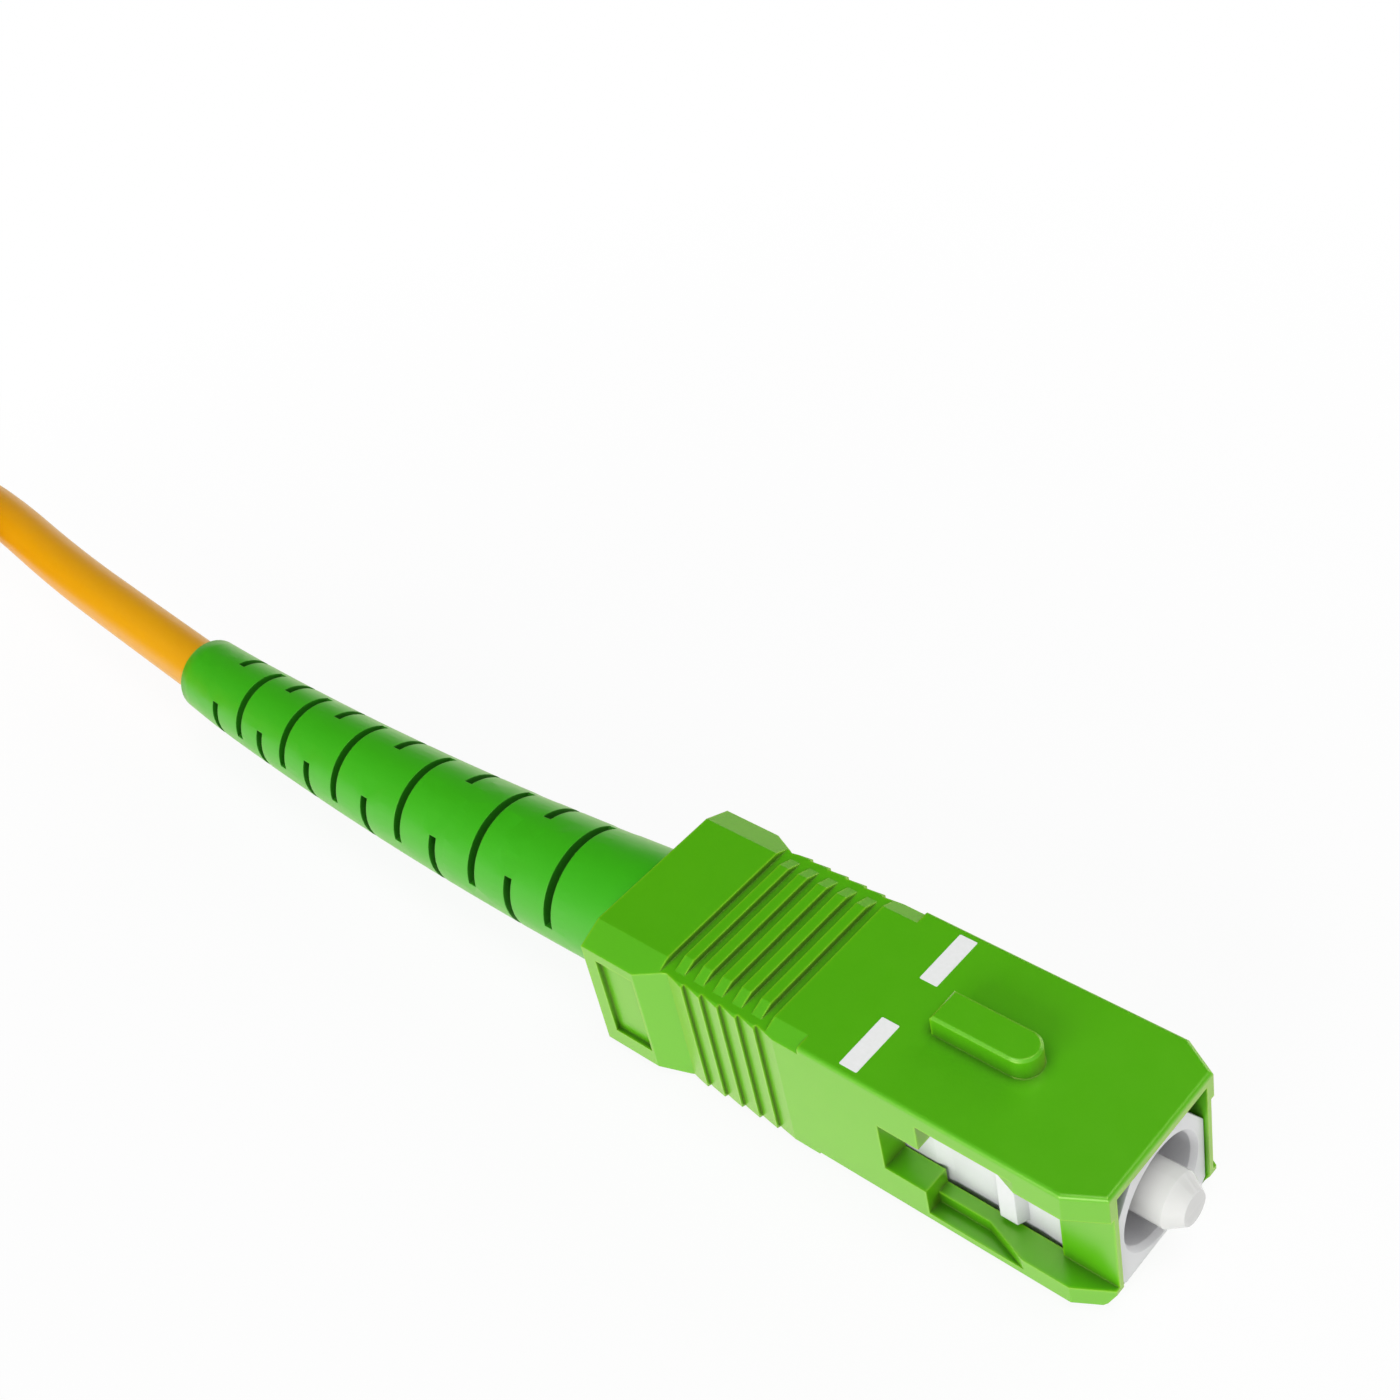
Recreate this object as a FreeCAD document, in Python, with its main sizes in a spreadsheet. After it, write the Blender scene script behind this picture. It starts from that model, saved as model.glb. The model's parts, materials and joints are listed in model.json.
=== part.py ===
import FreeCAD, Part
import math
import os
import re
import Sketcher
from FreeCAD import Placement, Rotation, Vector

# A push-pull SC fibre connector on the end of a 3 mm cable, in millimetres.
# The pieces are drawn in the connector's own frame: X runs along the ferrule, towards
# the mating end, with x = 0 at the front face of the outer housing and y = z = 0 on the
# ferrule's axis.  Each finished piece is then placed in the part's frame: the housing
# lies on its bottom face, key up, and the origin is under the middle of the connector.

doc = FreeCAD.newDocument("fibre_connector")
sheet = doc.addObject("Spreadsheet::Sheet", "dims")

SIZES = [
    ("front_x", 31.1, "from the origin to the front face of the outer housing"),
    ("axis_height", 3.695, "from the bottom face to the ferrule's axis"),
    ("shell_width", 8.99, "outer housing across its front section"),
    ("shell_height", 7.39, "outer housing over its top and bottom faces"),
    ("shell_length", 26.6, "outer housing from front to rear"),
    ("edge_round", 0.2, "rounding of the front section's top edges"),
    ("edge_bevel", 0.5, "bevel of the front section's bottom edges"),
    ("grip_start", -14.4, "where the front section ends and the grip begins"),
    ("bevel_half", 3.67, "half width of the flat top of the grip"),
    ("bevel_slope", 0.45, "fall of the bevels beside the grip's top, per mm outwards"),
    ("label_half", 5.0, "half width over the two rear side faces"),
    ("label_front", -23.45, "front end of the rear side faces"),
    ("label_sink", 0.25, "depth of the bare panel in each rear side face"),
    ("label_margin", 0.75, "frame behind the bare panel"),
    ("label_low", -2.15, "bottom of the bare panel"),
    ("label_high", 2.55, "top of the bare panel"),
    ("waist_half", 4.26, "half width at the bottom of the side grooves"),
    ("side_rib_start", -21.95, "rear end of the side ribs"),
    ("side_rib_pitch", 1.03, "spacing of the side ribs"),
    ("rib_start", -22.3, "rear end of the ribbed panel"),
    ("rib_width", 0.55, "width of a rib and of a gap in the ribbed panel"),
    ("rib_height", 0.3, "height of the ribs"),
    ("rib_half", 3.2, "half length of a rib along its crest"),
    ("rib_run", 0.75, "length of the slope at each end of a rib"),
    ("nose_chamfer_x", 1.6, "plan chamfer of the front corners, along the housing"),
    ("nose_chamfer_y", 0.9, "plan chamfer of the front corners, across the housing"),
    ("key_rear", -10.2, "rear end of the key"),
    ("key_front", -5.45, "rounded front end of the key"),
    ("key_half", 0.87, "half width of the key"),
    ("key_height", 1.08, "height of the key above the top face"),
    ("key_edge", 0.12, "small bevel round the top of the key"),
    ("cavity_half", 3.12, "half width of the housing's inner space"),
    ("cavity_rise", 2.92, "half height of the housing's inner space"),
    ("mouth_rise", 3.2, "height of the wider mouth above the axis"),
    ("mouth_depth", 0.8, "length of that wider mouth"),
    ("lip_top", 2.45, "where the bevel under the front face starts, below the axis"),
    ("lip_knee", 3.05, "where that bevel gets flatter"),
    ("lip_bevel", 0.33, "length of the steep part of that bevel, along the housing"),
    ("lip_run", 0.75, "length of its flatter part"),
    ("channel_half", 2.22, "half height of the side channel for the adapter's hooks"),
    ("pillar_half", 3.38, "half width over the thin walls beside the mouth"),
    ("window_front", -2.6, "front end of the side window"),
    ("window_step", -8.45, "where the side window becomes low"),
    ("window_rear", -10.55, "rear end of the low part of the side window"),
    ("window_low_half", 1.4, "half height of the low part of the side window"),
    ("cam_half", 2.85, "half height of the pockets beside the cams"),
    ("cam_inner", 3.75, "half width at the foot of the cams"),
    ("cam_bend", -5.9, "where the cam ramp starts"),
    ("cam_end", -3.8, "where the cam ramp reaches the housing's side"),
    ("rear_mouth_radius", 3.42, "round opening in the rear of the housing"),
    ("rear_mouth_depth", 2.8, "length of that round opening"),
    ("frame_front", -0.18, "front face of the plug frame"),
    ("frame_rear", -16.5, "rear face of the plug frame"),
    ("frame_half", 3.05, "half width of the plug frame"),
    ("frame_rise", 2.82, "half height of the plug frame"),
    ("frame_chamfer_y", 1.1, "keying chamfer of the plug frame, across"),
    ("frame_chamfer_z", 1.6, "keying chamfer of the plug frame, upwards"),
    ("frame_edge", 0.35, "bevel of the plug frame's bottom edges"),
    ("flank_half", 2.88, "half width over the latch recesses of the plug frame"),
    ("lug_front", -4.4, "front of the latch lug"),
    ("lug_slope", 0.35, "length of the slope on the front of the latch lug"),
    ("lug_rear", -5.7, "rear of the latch lug"),
    ("lug_half", 3.4, "half width over the latch lugs"),
    ("lug_rise", 1.95, "half height of a latch lug"),
    ("lug_edge", 0.12, "bevel of the latch lug's rear corner"),
    ("frame_bore", 2.45, "radius of the bore that takes the adapter's sleeve holder"),
    ("bore_floor", -6.6, "bottom of that bore"),
    ("throat_radius", 1.6, "radius of the throat behind that bore"),
    ("seat_x", -7.8, "seat of the ferrule flange inside the plug frame"),
    ("snap_rear", -15.4, "rear end of the snap slots in the plug frame"),
    ("snap_front", -14.0, "front end of the snap slots"),
    ("snap_half", 1.1, "half width of the snap slots"),
    ("ferrule_radius", 1.2495, "ferrule radius"),
    ("ferrule_tip", 1.3, "tip of the ferrule, ahead of the housing"),
    ("ferrule_length", 10.5, "ferrule length"),
    ("tip_radius", 0.75, "radius of the ferrule's end face"),
    ("tip_cone", 0.75, "length of the cone behind the end face"),
    ("flange_radius", 2.2, "radius of the ferrule's metal flange"),
    ("flange_length", 1.9, "thickness of the flange"),
    ("flange_bore", 0.82, "radius of the hole through the flange's tail"),
    ("tail_radius", 1.3, "radius of the flange's tail"),
    ("tail_length", 4.2, "length of the flange's tail behind the flange"),
    ("notch_depth", 1.2, "depth of the tuning notches in the flange, along it"),
    ("notch_half", 0.35, "half width of a tuning notch"),
    ("notch_floor", 1.75, "radius at the bottom of a tuning notch"),
    ("guide_rear", -17.5, "rear end of the guide tube"),
    ("spring_wire", 0.42, "wire diameter of the spring"),
    ("spring_radius", 1.78, "mean radius of the spring"),
    ("spring_seat", -15.9, "rear seat of the spring"),
    ("spring_gap", 0.02, "space left at each end of the spring"),
    ("stop_front", -12.6, "front of the rear body"),
    ("stop_rear", -24.5, "rear of the rear body"),
    ("stop_radius", 2.33, "radius of the rear body inside the plug frame"),
    ("stop_bore", 1.2, "radius of the hole through the rear body"),
    ("spring_bore", 2.02, "radius of the wider hole that holds the spring"),
    ("collar_radius", 2.7, "radius of the rear body's collar"),
    ("collar_length", 0.9, "length of the rear body's collar"),
    ("barb_reach", 2.65, "half height over the rear body's barbs"),
    ("barb_half", 0.95, "half width of a barb"),
    ("crimp_front", -18.0, "front of the crimp sleeve"),
    ("crimp_rear", -26.3, "rear of the crimp sleeve"),
    ("crimp_radius", 2.38, "outer radius of the crimp sleeve"),
    ("yarn_radius", 1.95, "outer radius of the aramid yarn under the crimp sleeve"),
    ("yarn_layer", 0.15, "thickness of that layer of yarn"),
    ("yarn_rear", -25.6, "rear end of that layer of yarn"),
    ("eyelet_front", -27.2, "front of the eyelet on the cable's jacket"),
    ("eyelet_rear", -30.2, "rear of that eyelet"),
    ("eyelet_radius", 1.88, "outer radius of that eyelet"),
    ("boot_front", -19.2, "front of the boot, inside the housing"),
    ("boot_shoulder", -26.9, "shoulder where the boot gets its full size"),
    ("boot_collar", 2.75, "radius of the boot's collar inside the housing"),
    ("boot_front_radius", 3.25, "boot radius at the shoulder"),
    ("boot_rear_radius", 2.09, "boot radius at the cable end"),
    ("boot_rear", -63.5, "cable end of the boot"),
    ("slot_width", 0.5, "width of the boot's slots"),
    ("slot_floor", 1.8, "radius at the bottom of the boot's slots"),
    ("slot_roll", 23.5, "roll of the slot pattern about the axis, degrees"),
    ("slot_first", 4.4, "from the boot's shoulder to its first long slots"),
    ("slot_long", 127.0, "angle that a long slot covers"),
    ("slot_short", 113.0, "angle that a short slot covers"),
    ("cable_radius", 1.5, "cable radius"),
    ("buffer_radius", 0.45, "radius of the tight buffer"),
    ("buffer_front", -10.8, "front end of the tight buffer"),
    ("buffer_rear", -62.5, "where the buffer's solid ends, inside the boot"),
    ("fit_gap", 0.02, "slack between pieces that fit over each other"),
    ("coil_inner", 12.0, "inner radius of the put-away coil"),
    ("coil_outer", 18.0, "outer radius of the put-away coil"),
    ("coil_height", 15.0, "height of the put-away coil"),
    ("coil_x", -105.5, "centre of the coil behind the housing's front face"),
    ("coil_y", -13.0, "centre of the coil beside the axis"),
    ("tail_start", -3.0, "start of the cable's end piece, from the coil's centre"),
    ("tail_cut", 6.5, "where the jacket is cut"),
    ("yarn_cut", 9.5, "where the yarn is cut"),
    ("buffer_cut", 12.5, "where the buffer is cut"),
    ("yarn_end_radius", 1.05, "radius of the bundle of yarn at the cable's end"),
]
for row, (alias, value, note) in enumerate(SIZES, start=1):
    sheet.set("A%d" % row, note)
    sheet.set("B%d" % row, str(value))
    sheet.setAlias("B%d" % row, alias)
doc.recompute()
ALIASES = {alias for alias, value, note in SIZES}


def linked(rule):
    """A rule such as "shell_width / 2" with each size named by its sheet."""
    return re.sub(
        r"[a-z][a-z_]*", lambda m: "dims." + m.group() if m.group() in ALIASES else m.group(), rule
    )


def size(rule):
    """The number that a rule gives now."""
    return float(sheet.evalExpression(linked(rule)))


def bind(thing, **rules):
    for key, rule in rules.items():
        thing.setExpression(key.replace("__", "."), linked(rule))


def minus(rule):
    return "-(%s)" % rule


def both(rule):
    """A span that is the same on both sides of the axis."""
    return (minus(rule), rule)


def sided(sign, inner, outer):
    """A span from an inner to an outer half width, on the near or the far side."""
    return (minus(outer), minus(inner)) if sign == "-" else (inner, outer)


def box(name, x_span, y_span, z_span):
    """A block between pairs of rules along X, Y and Z."""
    block = doc.addObject("Part::Box", name)
    bind(
        block,
        Length="(%s) - (%s)" % (x_span[1], x_span[0]),
        Width="(%s) - (%s)" % (y_span[1], y_span[0]),
        Height="(%s) - (%s)" % (z_span[1], z_span[0]),
        Placement__Base__x=x_span[0],
        Placement__Base__y=y_span[0],
        Placement__Base__z=z_span[0],
    )
    return block


def rod(name, x_rear, length, radius):
    """A round bar on the ferrule's axis."""
    bar = doc.addObject("Part::Cylinder", name)
    bar.Placement = Placement(Vector(), Rotation(Vector(0, 1, 0), 90))
    bind(bar, Height=length, Radius=radius, Placement__Base__x=x_rear)
    return bar


def sector(name, x_rear, width, radius, middle, span):
    """A slice of a bar: middle is its direction in degrees from +Y towards +Z."""
    slice_ = rod(name, x_rear, width, radius)
    turn = Rotation(Vector(1, 0, 0), middle - span / 2 + 90)
    slice_.Placement.Rotation = turn.multiply(Rotation(Vector(0, 1, 0), 90))
    slice_.Angle = span
    return slice_


# Where each sketch plane points: its own x and y axes, and then its normal.
PLANES = {
    "XY": Rotation(),
    "YZ": Rotation(Vector(0, 1, 0), Vector(0, 0, 1), Vector(1, 0, 0), "ZXY"),
    "XZ": Rotation(Vector(1, 0, 0), Vector(0, 0, 1), Vector(0, -1, 0), "ZXY"),
}


def outline(name, plane, points):
    """A closed sketch through points whose coordinates are rules, each one a constraint."""
    sketch = doc.addObject("Sketcher::SketchObject", name + "_outline")
    sketch.Placement = Placement(Vector(), PLANES[plane])
    corners = [Vector(size(x), size(y), 0) for x, y in points]
    count = len(corners)
    for i in range(count):
        sketch.addGeometry(Part.LineSegment(corners[i], corners[(i + 1) % count]), False)
    for i in range(count):
        sketch.addConstraint(Sketcher.Constraint("Coincident", i, 2, (i + 1) % count, 1))
    for i, (x, y) in enumerate(points):
        for kind, rule, here in (("DistanceX", x, corners[i].x), ("DistanceY", y, corners[i].y)):
            place = sketch.addConstraint(Sketcher.Constraint(kind, -1, 1, i, 1, here))
            sketch.setExpression("Constraints[%d]" % place, linked(rule))
    return sketch


def prism(name, plane, points, span):
    """An outline pushed along its plane's normal from one rule to the other."""
    sketch = outline(name, plane, points)
    solid = doc.addObject("Part::Extrusion", name)
    solid.Base = sketch
    solid.DirMode = "Normal"
    solid.Solid = True
    axis = {"XY": "z", "YZ": "x", "XZ": "y"}[plane]
    start = span[1] if plane == "XZ" else span[0]
    sketch.setExpression("Placement.Base." + axis, linked(start))
    bind(solid, LengthFwd="(%s) - (%s)" % (span[1], span[0]))
    return solid


def turned(name, points):
    """A piece turned about the ferrule's axis from (x, radius) rules."""
    solid = doc.addObject("Part::Revolution", name)
    solid.Source = outline(name, "XZ", points)
    solid.Axis = Vector(1, 0, 0)
    solid.Base = Vector(0, 0, 0)
    solid.Angle = 360
    solid.Solid = True
    return solid


def sleeve(name, x_rear, x_front, inner, outer):
    """A plain tube on the ferrule's axis."""
    return turned(name, [(x_rear, inner), (x_front, inner), (x_front, outer), (x_rear, outer)])


def joined(name, pieces):
    union = doc.addObject("Part::MultiFuse", name)
    union.Shapes = pieces
    return union


def cut(name, base, tools):
    result = doc.addObject("Part::Cut", name)
    result.Base = base
    result.Tool = tools[0] if len(tools) == 1 else joined(name + "_tools", tools)
    return result


def common(name, pieces):
    shared = doc.addObject("Part::MultiCommon", name)
    shared.Shapes = pieces
    return shared


def softened(kind, name, block, reach, picks):
    """The block with a Part::Fillet or Part::Chamfer on the edges that picks chooses."""
    doc.recompute()
    result = doc.addObject(kind, name)
    result.Base = block
    amount = size(reach)
    chosen = [n for n, edge in enumerate(block.Shape.Edges, start=1) if picks(edge.BoundBox)]
    result.Edges = [(n, amount, amount) for n in chosen]
    return result


def level_at(bounds, rule):
    """Whether an edge lies flat at that height."""
    return bounds.ZLength < 0.01 and abs(bounds.ZMin - size(rule)) < 0.01


def mirrored(points):
    """The same outline on the other side of the X axis of its sketch."""
    return [(x, minus(y)) for x, y in points]


FINISHED = []


def finish(thing, label):
    """Give a sub-part its label and move it from the connector's frame to the part's."""
    thing.Label = label
    bind(thing, Placement__Base__x="front_x", Placement__Base__z="axis_height")
    FINISHED.append(thing)
    return thing


HALF = "shell_width / 2"
RISE = "shell_height / 2"
REAR = "-shell_length"
OUT = "label_half + 1"
ABOVE = "shell_height"
SIDES = (("near", "-"), ("far", ""))
FACES = (("top", ""), ("bottom", "-"))
SIDE_RIBS = 5
TOP_RIBS = 5


def grip_plan():
    """Half of the grip's plan, from rear to front: side face, then saw-tooth ribs."""
    points = [(REAR, "label_half"), ("label_front", "label_half"), ("side_rib_start", "waist_half")]
    for tooth in range(1, SIDE_RIBS + 1):
        crest = "side_rib_start + %d * side_rib_pitch" % tooth
        points += [(crest, HALF), (crest, "waist_half + 0.04")]
    points.append(("side_rib_start + %d * side_rib_pitch" % (SIDE_RIBS + 1), HALF))
    points.append(("grip_start", HALF))
    return points


def shell_body():
    """The housing's outer form: a front section with soft edges and a bevelled grip."""
    nose_plan = [
        ("grip_start", HALF),
        ("-nose_chamfer_x", HALF),
        ("0", HALF + " - nose_chamfer_y"),
    ]
    nose = prism("nose_block", "XY", nose_plan + mirrored(nose_plan)[::-1], both(RISE))
    for kind, name, face, reach in (
        ("Part::Fillet", "nose_top", RISE, "edge_round"),
        ("Part::Chamfer", "nose_bottom", minus(RISE), "edge_bevel"),
    ):
        nose = softened(kind, name, nose, reach, lambda bounds: nose_edge(bounds, face))
    low = RISE + " - bevel_slope * (%s - bevel_half)" % OUT
    section = [("bevel_half", RISE), (OUT, low), (OUT, minus(low)), ("bevel_half", minus(RISE))]
    section += [(minus(y), z) for y, z in section[::-1]]
    bevels = prism("grip_section", "YZ", section, (REAR, "grip_start"))
    half_plan = grip_plan()
    plan = prism("grip_plan", "XY", half_plan + mirrored(half_plan)[::-1], both(RISE))
    return joined("shell_body", [nose, common("grip_body", [plan, bevels])])


def nose_edge(bounds, face):
    """Whether an edge is in the outline of that face, other than where the grip joins it."""
    return level_at(bounds, face) and bounds.XMax > size("grip_start") + 1


def rib_panel(face, sign):
    """The sunk panel across the grip, as a tool, and the ribs that stand in it."""
    floor = sign + "(%s - rib_height)" % RISE
    crest = sign + "(%s)" % RISE
    z_span = (floor, ABOVE) if face == "top" else (minus(ABOVE), floor)
    gaps = 2 * TOP_RIBS + 1
    panel = box("panel_" + face, ("rib_start", "rib_start + %d * rib_width" % gaps), both(OUT), z_span)
    ends = [("rib_half + rib_run", floor), ("rib_half", crest)]
    ends += [(minus(y), z) for y, z in ends[::-1]]
    ribs = []
    for rib in range(TOP_RIBS):
        rear = "rib_start + %d * rib_width" % (2 * rib + 1)
        ribs.append(prism("rib_%s_%d" % (face, rib + 1), "YZ", ends, (rear, rear + " + rib_width")))
    return panel, ribs


def side_cuts(side, sign):
    """The sunk panel, window, channel and cam pockets of one side of the housing."""
    panel = box(
        "side_panel_" + side,
        (REAR + " + label_margin", "label_front - 0.15"),
        sided(sign, "label_half - label_sink", OUT),
        ("label_low", "label_high"),
    )
    through = sided(sign, "cavity_half - 0.2", OUT)
    window = box("window_" + side, ("window_step", "window_front"), through, both("channel_half"))
    low = box("low_" + side, ("window_rear", "window_step + 0.1"), through, both("window_low_half"))
    skin = sided(sign, "pillar_half", OUT)
    channel = box("channel_" + side, ("window_front - 0.1", "1"), skin, both("channel_half"))
    ramp = [
        ("window_step", sign + "cam_inner"),
        ("cam_bend", sign + "cam_inner"),
        ("cam_end", sign + "(%s)" % HALF),
        ("cam_end", sign + "(%s)" % OUT),
        ("window_step", sign + "(%s)" % OUT),
    ]
    pocket = prism("cam_pocket_" + side, "XY", ramp, both("cam_half"))
    return [panel, window, low, channel, pocket]


def key():
    """The key on the top face: square behind, round in front, with a small bevel on top."""
    foot = "cavity_rise + 0.2"
    top = RISE + " + key_height"
    straight = box("key_block", ("key_rear", "key_front - key_half"), both("key_half"), (foot, top))
    nose = doc.addObject("Part::Cylinder", "key_nose")
    bind(
        nose,
        Radius="key_half",
        Height="(%s) - (%s)" % (top, foot),
        Placement__Base__x="key_front - key_half",
        Placement__Base__z=foot,
    )
    body = joined("key_body", [straight, nose])
    body.Refine = True
    return softened(
        "Part::Chamfer", "key_bevelled", body, "key_edge", lambda bounds: level_at(bounds, top)
    )


def outer_housing():
    """The sliding grip: ribbed, keyed, with a cam channel for the adapter's hooks in each side."""
    cuts = []
    ribs = []
    for face, sign in FACES:
        panel, new_ribs = rib_panel(face, sign)
        cuts.append(panel)
        ribs += new_ribs
    # The front face is bevelled at the bottom, so that the bottom wall starts further back.
    lip = [
        ("1", "-lip_top"),
        ("0", "-lip_top"),
        ("-lip_bevel", "-lip_knee"),
        ("-lip_bevel - lip_run", minus(RISE)),
        ("-lip_bevel - lip_run", "-shell_height"),
        ("1", "-shell_height"),
    ]
    cuts.append(prism("lip", "XZ", lip, both(OUT)))
    cuts.append(box("mouth", ("-mouth_depth", "1"), both("cavity_half"), ("0", "mouth_rise")))
    for side, sign in SIDES:
        cuts += side_cuts(side, sign)
    cavity_rear = REAR + " + rear_mouth_depth"
    cuts.append(box("cavity", (cavity_rear, "1"), both("cavity_half"), both("cavity_rise")))
    cuts.append(rod("rear_mouth", REAR + " - 1", "rear_mouth_depth + 2", "rear_mouth_radius"))
    carved = cut("shell_carved", shell_body(), cuts)
    return finish(joined("shell_whole", [carved, key()] + ribs), "outer_housing")


def flank(side, sign):
    """The recess in one side of the plug frame, as a tool, and the latch lug that stands in it."""
    deep = sign + "flank_half"
    skin = sign + "frame_half"
    out = sign + "(frame_half + 1)"
    recess = [
        ("window_step - 0.5", skin),
        ("window_step + 0.3", deep),
        ("lug_front + 0.5", deep),
        ("window_front + 0.6", skin),
        ("window_front + 0.6", out),
        ("window_step - 0.5", out),
    ]
    root = sign + "(flank_half - 0.2)"
    lug = [
        ("lug_rear", root),
        ("lug_rear", sign + "(lug_half - lug_edge)"),
        ("lug_rear + lug_edge", sign + "lug_half"),
        ("lug_front - lug_slope", sign + "lug_half"),
        ("lug_front", root),
    ]
    tool = prism("flank_" + side, "XY", recess, both("frame_rise + 1"))
    return tool, prism("lug_" + side, "XY", lug, both("lug_rise"))


def plug_frame():
    """The white inner housing: bored nose, keying chamfers, latch lugs on its flanks."""
    rim = [
        ("-frame_half", "frame_edge - frame_rise"),
        ("frame_edge - frame_half", "-frame_rise"),
        ("frame_half - frame_edge", "-frame_rise"),
        ("frame_half", "frame_edge - frame_rise"),
        ("frame_half", "frame_rise - frame_chamfer_z"),
        ("frame_half - frame_chamfer_y", "frame_rise"),
        ("frame_chamfer_y - frame_half", "frame_rise"),
        ("-frame_half", "frame_rise - frame_chamfer_z"),
    ]
    block = prism("frame_block", "YZ", rim, ("frame_rear", "frame_front"))
    cuts = []
    lugs = []
    for side, sign in SIDES:
        recess, lug = flank(side, sign)
        cuts.append(recess)
        lugs.append(lug)
    bore = turned(
        "frame_bore_tool",
        [
            ("frame_rear - 1", "0"),
            ("frame_rear - 1", "stop_radius + fit_gap"),
            ("seat_x", "stop_radius + fit_gap"),
            ("seat_x", "throat_radius"),
            ("bore_floor", "throat_radius"),
            ("bore_floor", "frame_bore"),
            ("frame_front - 0.25", "frame_bore"),
            ("frame_front", "frame_bore + 0.18"),
            ("frame_front + 1", "frame_bore + 0.18"),
            ("frame_front + 1", "0"),
        ],
    )
    # Snap slots through the top and bottom walls for the rear body's barbs.
    slots = box("snap_slots", ("snap_rear", "snap_front"), both("snap_half"), both("frame_rise + 1"))
    carved = cut("frame_carved", block, cuts)
    whole = joined("frame_whole", [carved] + lugs)
    return finish(cut("frame_bored", whole, [bore, slots]), "plug_frame")


def ferrule():
    """Zirconia ferrule with the conical tip and the 8 degree end face of an angled polish."""
    rear = "ferrule_tip - ferrule_length"
    blank = turned(
        "ferrule_blank",
        [
            (rear, "0"),
            (rear, "ferrule_radius - fit_gap"),
            ("bore_floor + 0.3", "ferrule_radius"),
            ("ferrule_tip - tip_cone", "ferrule_radius"),
            ("ferrule_tip", "tip_radius"),
            ("ferrule_tip", "0"),
        ],
    )
    reach = "2 * tip_radius"
    rise = "tip_radius * tan(8 deg)"
    face = [
        ("ferrule_tip - " + rise, reach),
        ("ferrule_tip + 1", reach),
        ("ferrule_tip + 1", minus(reach)),
        ("ferrule_tip + " + rise, minus(reach)),
    ]
    wedge = prism("ferrule_face", "XZ", face, both(reach))
    return finish(cut("ferrule_cut", blank, [wedge]), "ferrule")


def ferrule_flange():
    """Metal flange pressed on the ferrule, with four tuning notches and a hollow tail."""
    rear = "seat_x - flange_length"
    end = rear + " - tail_length"
    socket = "ferrule_tip - ferrule_length"
    blank = turned(
        "flange_blank",
        [
            (end, "flange_bore"),
            (socket, "flange_bore"),
            (socket, "ferrule_radius"),
            ("seat_x", "ferrule_radius"),
            ("seat_x", "flange_radius"),
            (rear, "flange_radius"),
            (rear, "tail_radius"),
            (end, "tail_radius"),
        ],
    )
    x_span = ("seat_x - notch_depth", "seat_x + 1")
    cross = joined(
        "notch_cross",
        [
            box("notch_level", x_span, both("flange_radius + 1"), both("notch_half")),
            box("notch_upright", x_span, both("notch_half"), both("flange_radius + 1")),
        ],
    )
    core = rod("notch_core", "seat_x - notch_depth - 1", "notch_depth + 3", "notch_floor")
    notches = cut("notch_tool", cross, [core])
    return finish(cut("flange_cut", blank, [notches]), "ferrule_flange")


def spring():
    """Coil spring that pushes the ferrule forward, one wire in five turns, drawn four-sided."""
    rear = "spring_seat + spring_wire / 2 + spring_gap"
    length = "seat_x - flange_length - spring_seat - spring_wire - 2 * spring_gap"
    helix = doc.addObject("Part::Helix", "spring_path")
    helix.Placement = Placement(Vector(), Rotation(Vector(0, 1, 0), 90))
    bind(helix, Radius="spring_radius", Height=length, Pitch="(%s) / 5" % length)
    bind(helix, Placement__Base__x=rear)
    corners = []
    for corner in range(4):
        along = "(%s) + spring_wire / 2 * cos(%d deg)" % (rear, 90 * corner)
        corners.append((along, "spring_wire / 2 * sin(%d deg) - spring_radius" % (90 * corner)))
    wire = outline("spring_section", "XZ", corners)
    sweep = doc.addObject("Part::Sweep", "spring_whole")
    sweep.Sections = [wire]
    sweep.Spine = (helix, [])
    sweep.Solid = True
    sweep.Frenet = True
    return finish(sweep, "spring")


def rear_body():
    """The stop ring: barbed barrel in the plug frame, collar, and crimp tail."""
    tail = "yarn_radius - yarn_layer"
    points = [
        ("stop_rear", "stop_bore"),
        ("spring_seat", "stop_bore"),
        ("spring_seat", "spring_bore"),
        ("stop_front", "spring_bore"),
        ("stop_front", "stop_radius"),
        ("frame_rear", "stop_radius"),
        ("frame_rear", "collar_radius"),
        ("frame_rear - collar_length", "collar_radius"),
        ("frame_rear - collar_length", tail),
    ]
    points.append(("stop_rear", tail))
    barrel = turned("stop_barrel", points)
    barbs = []
    for face, sign in FACES:
        barb = [
            ("snap_rear + 0.1", sign + "(stop_radius - 0.2)"),
            ("snap_rear + 0.1", sign + "barb_reach"),
            ("snap_rear + 0.5", sign + "barb_reach"),
            ("snap_front - 0.1", sign + "(stop_radius - 0.03)"),
            ("snap_front - 0.1", sign + "(stop_radius - 0.2)"),
        ]
        barbs.append(prism("barb_" + face, "XZ", barb, both("barb_half")))
    return finish(joined("stop_whole", [barrel] + barbs), "rear_body")


# Gaps from one pair of long slots to the next: they close up towards the cable.
SLOT_GAPS = (5.4, 5.7, 5.3, 4.6, 4.1, 4.5)


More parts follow.
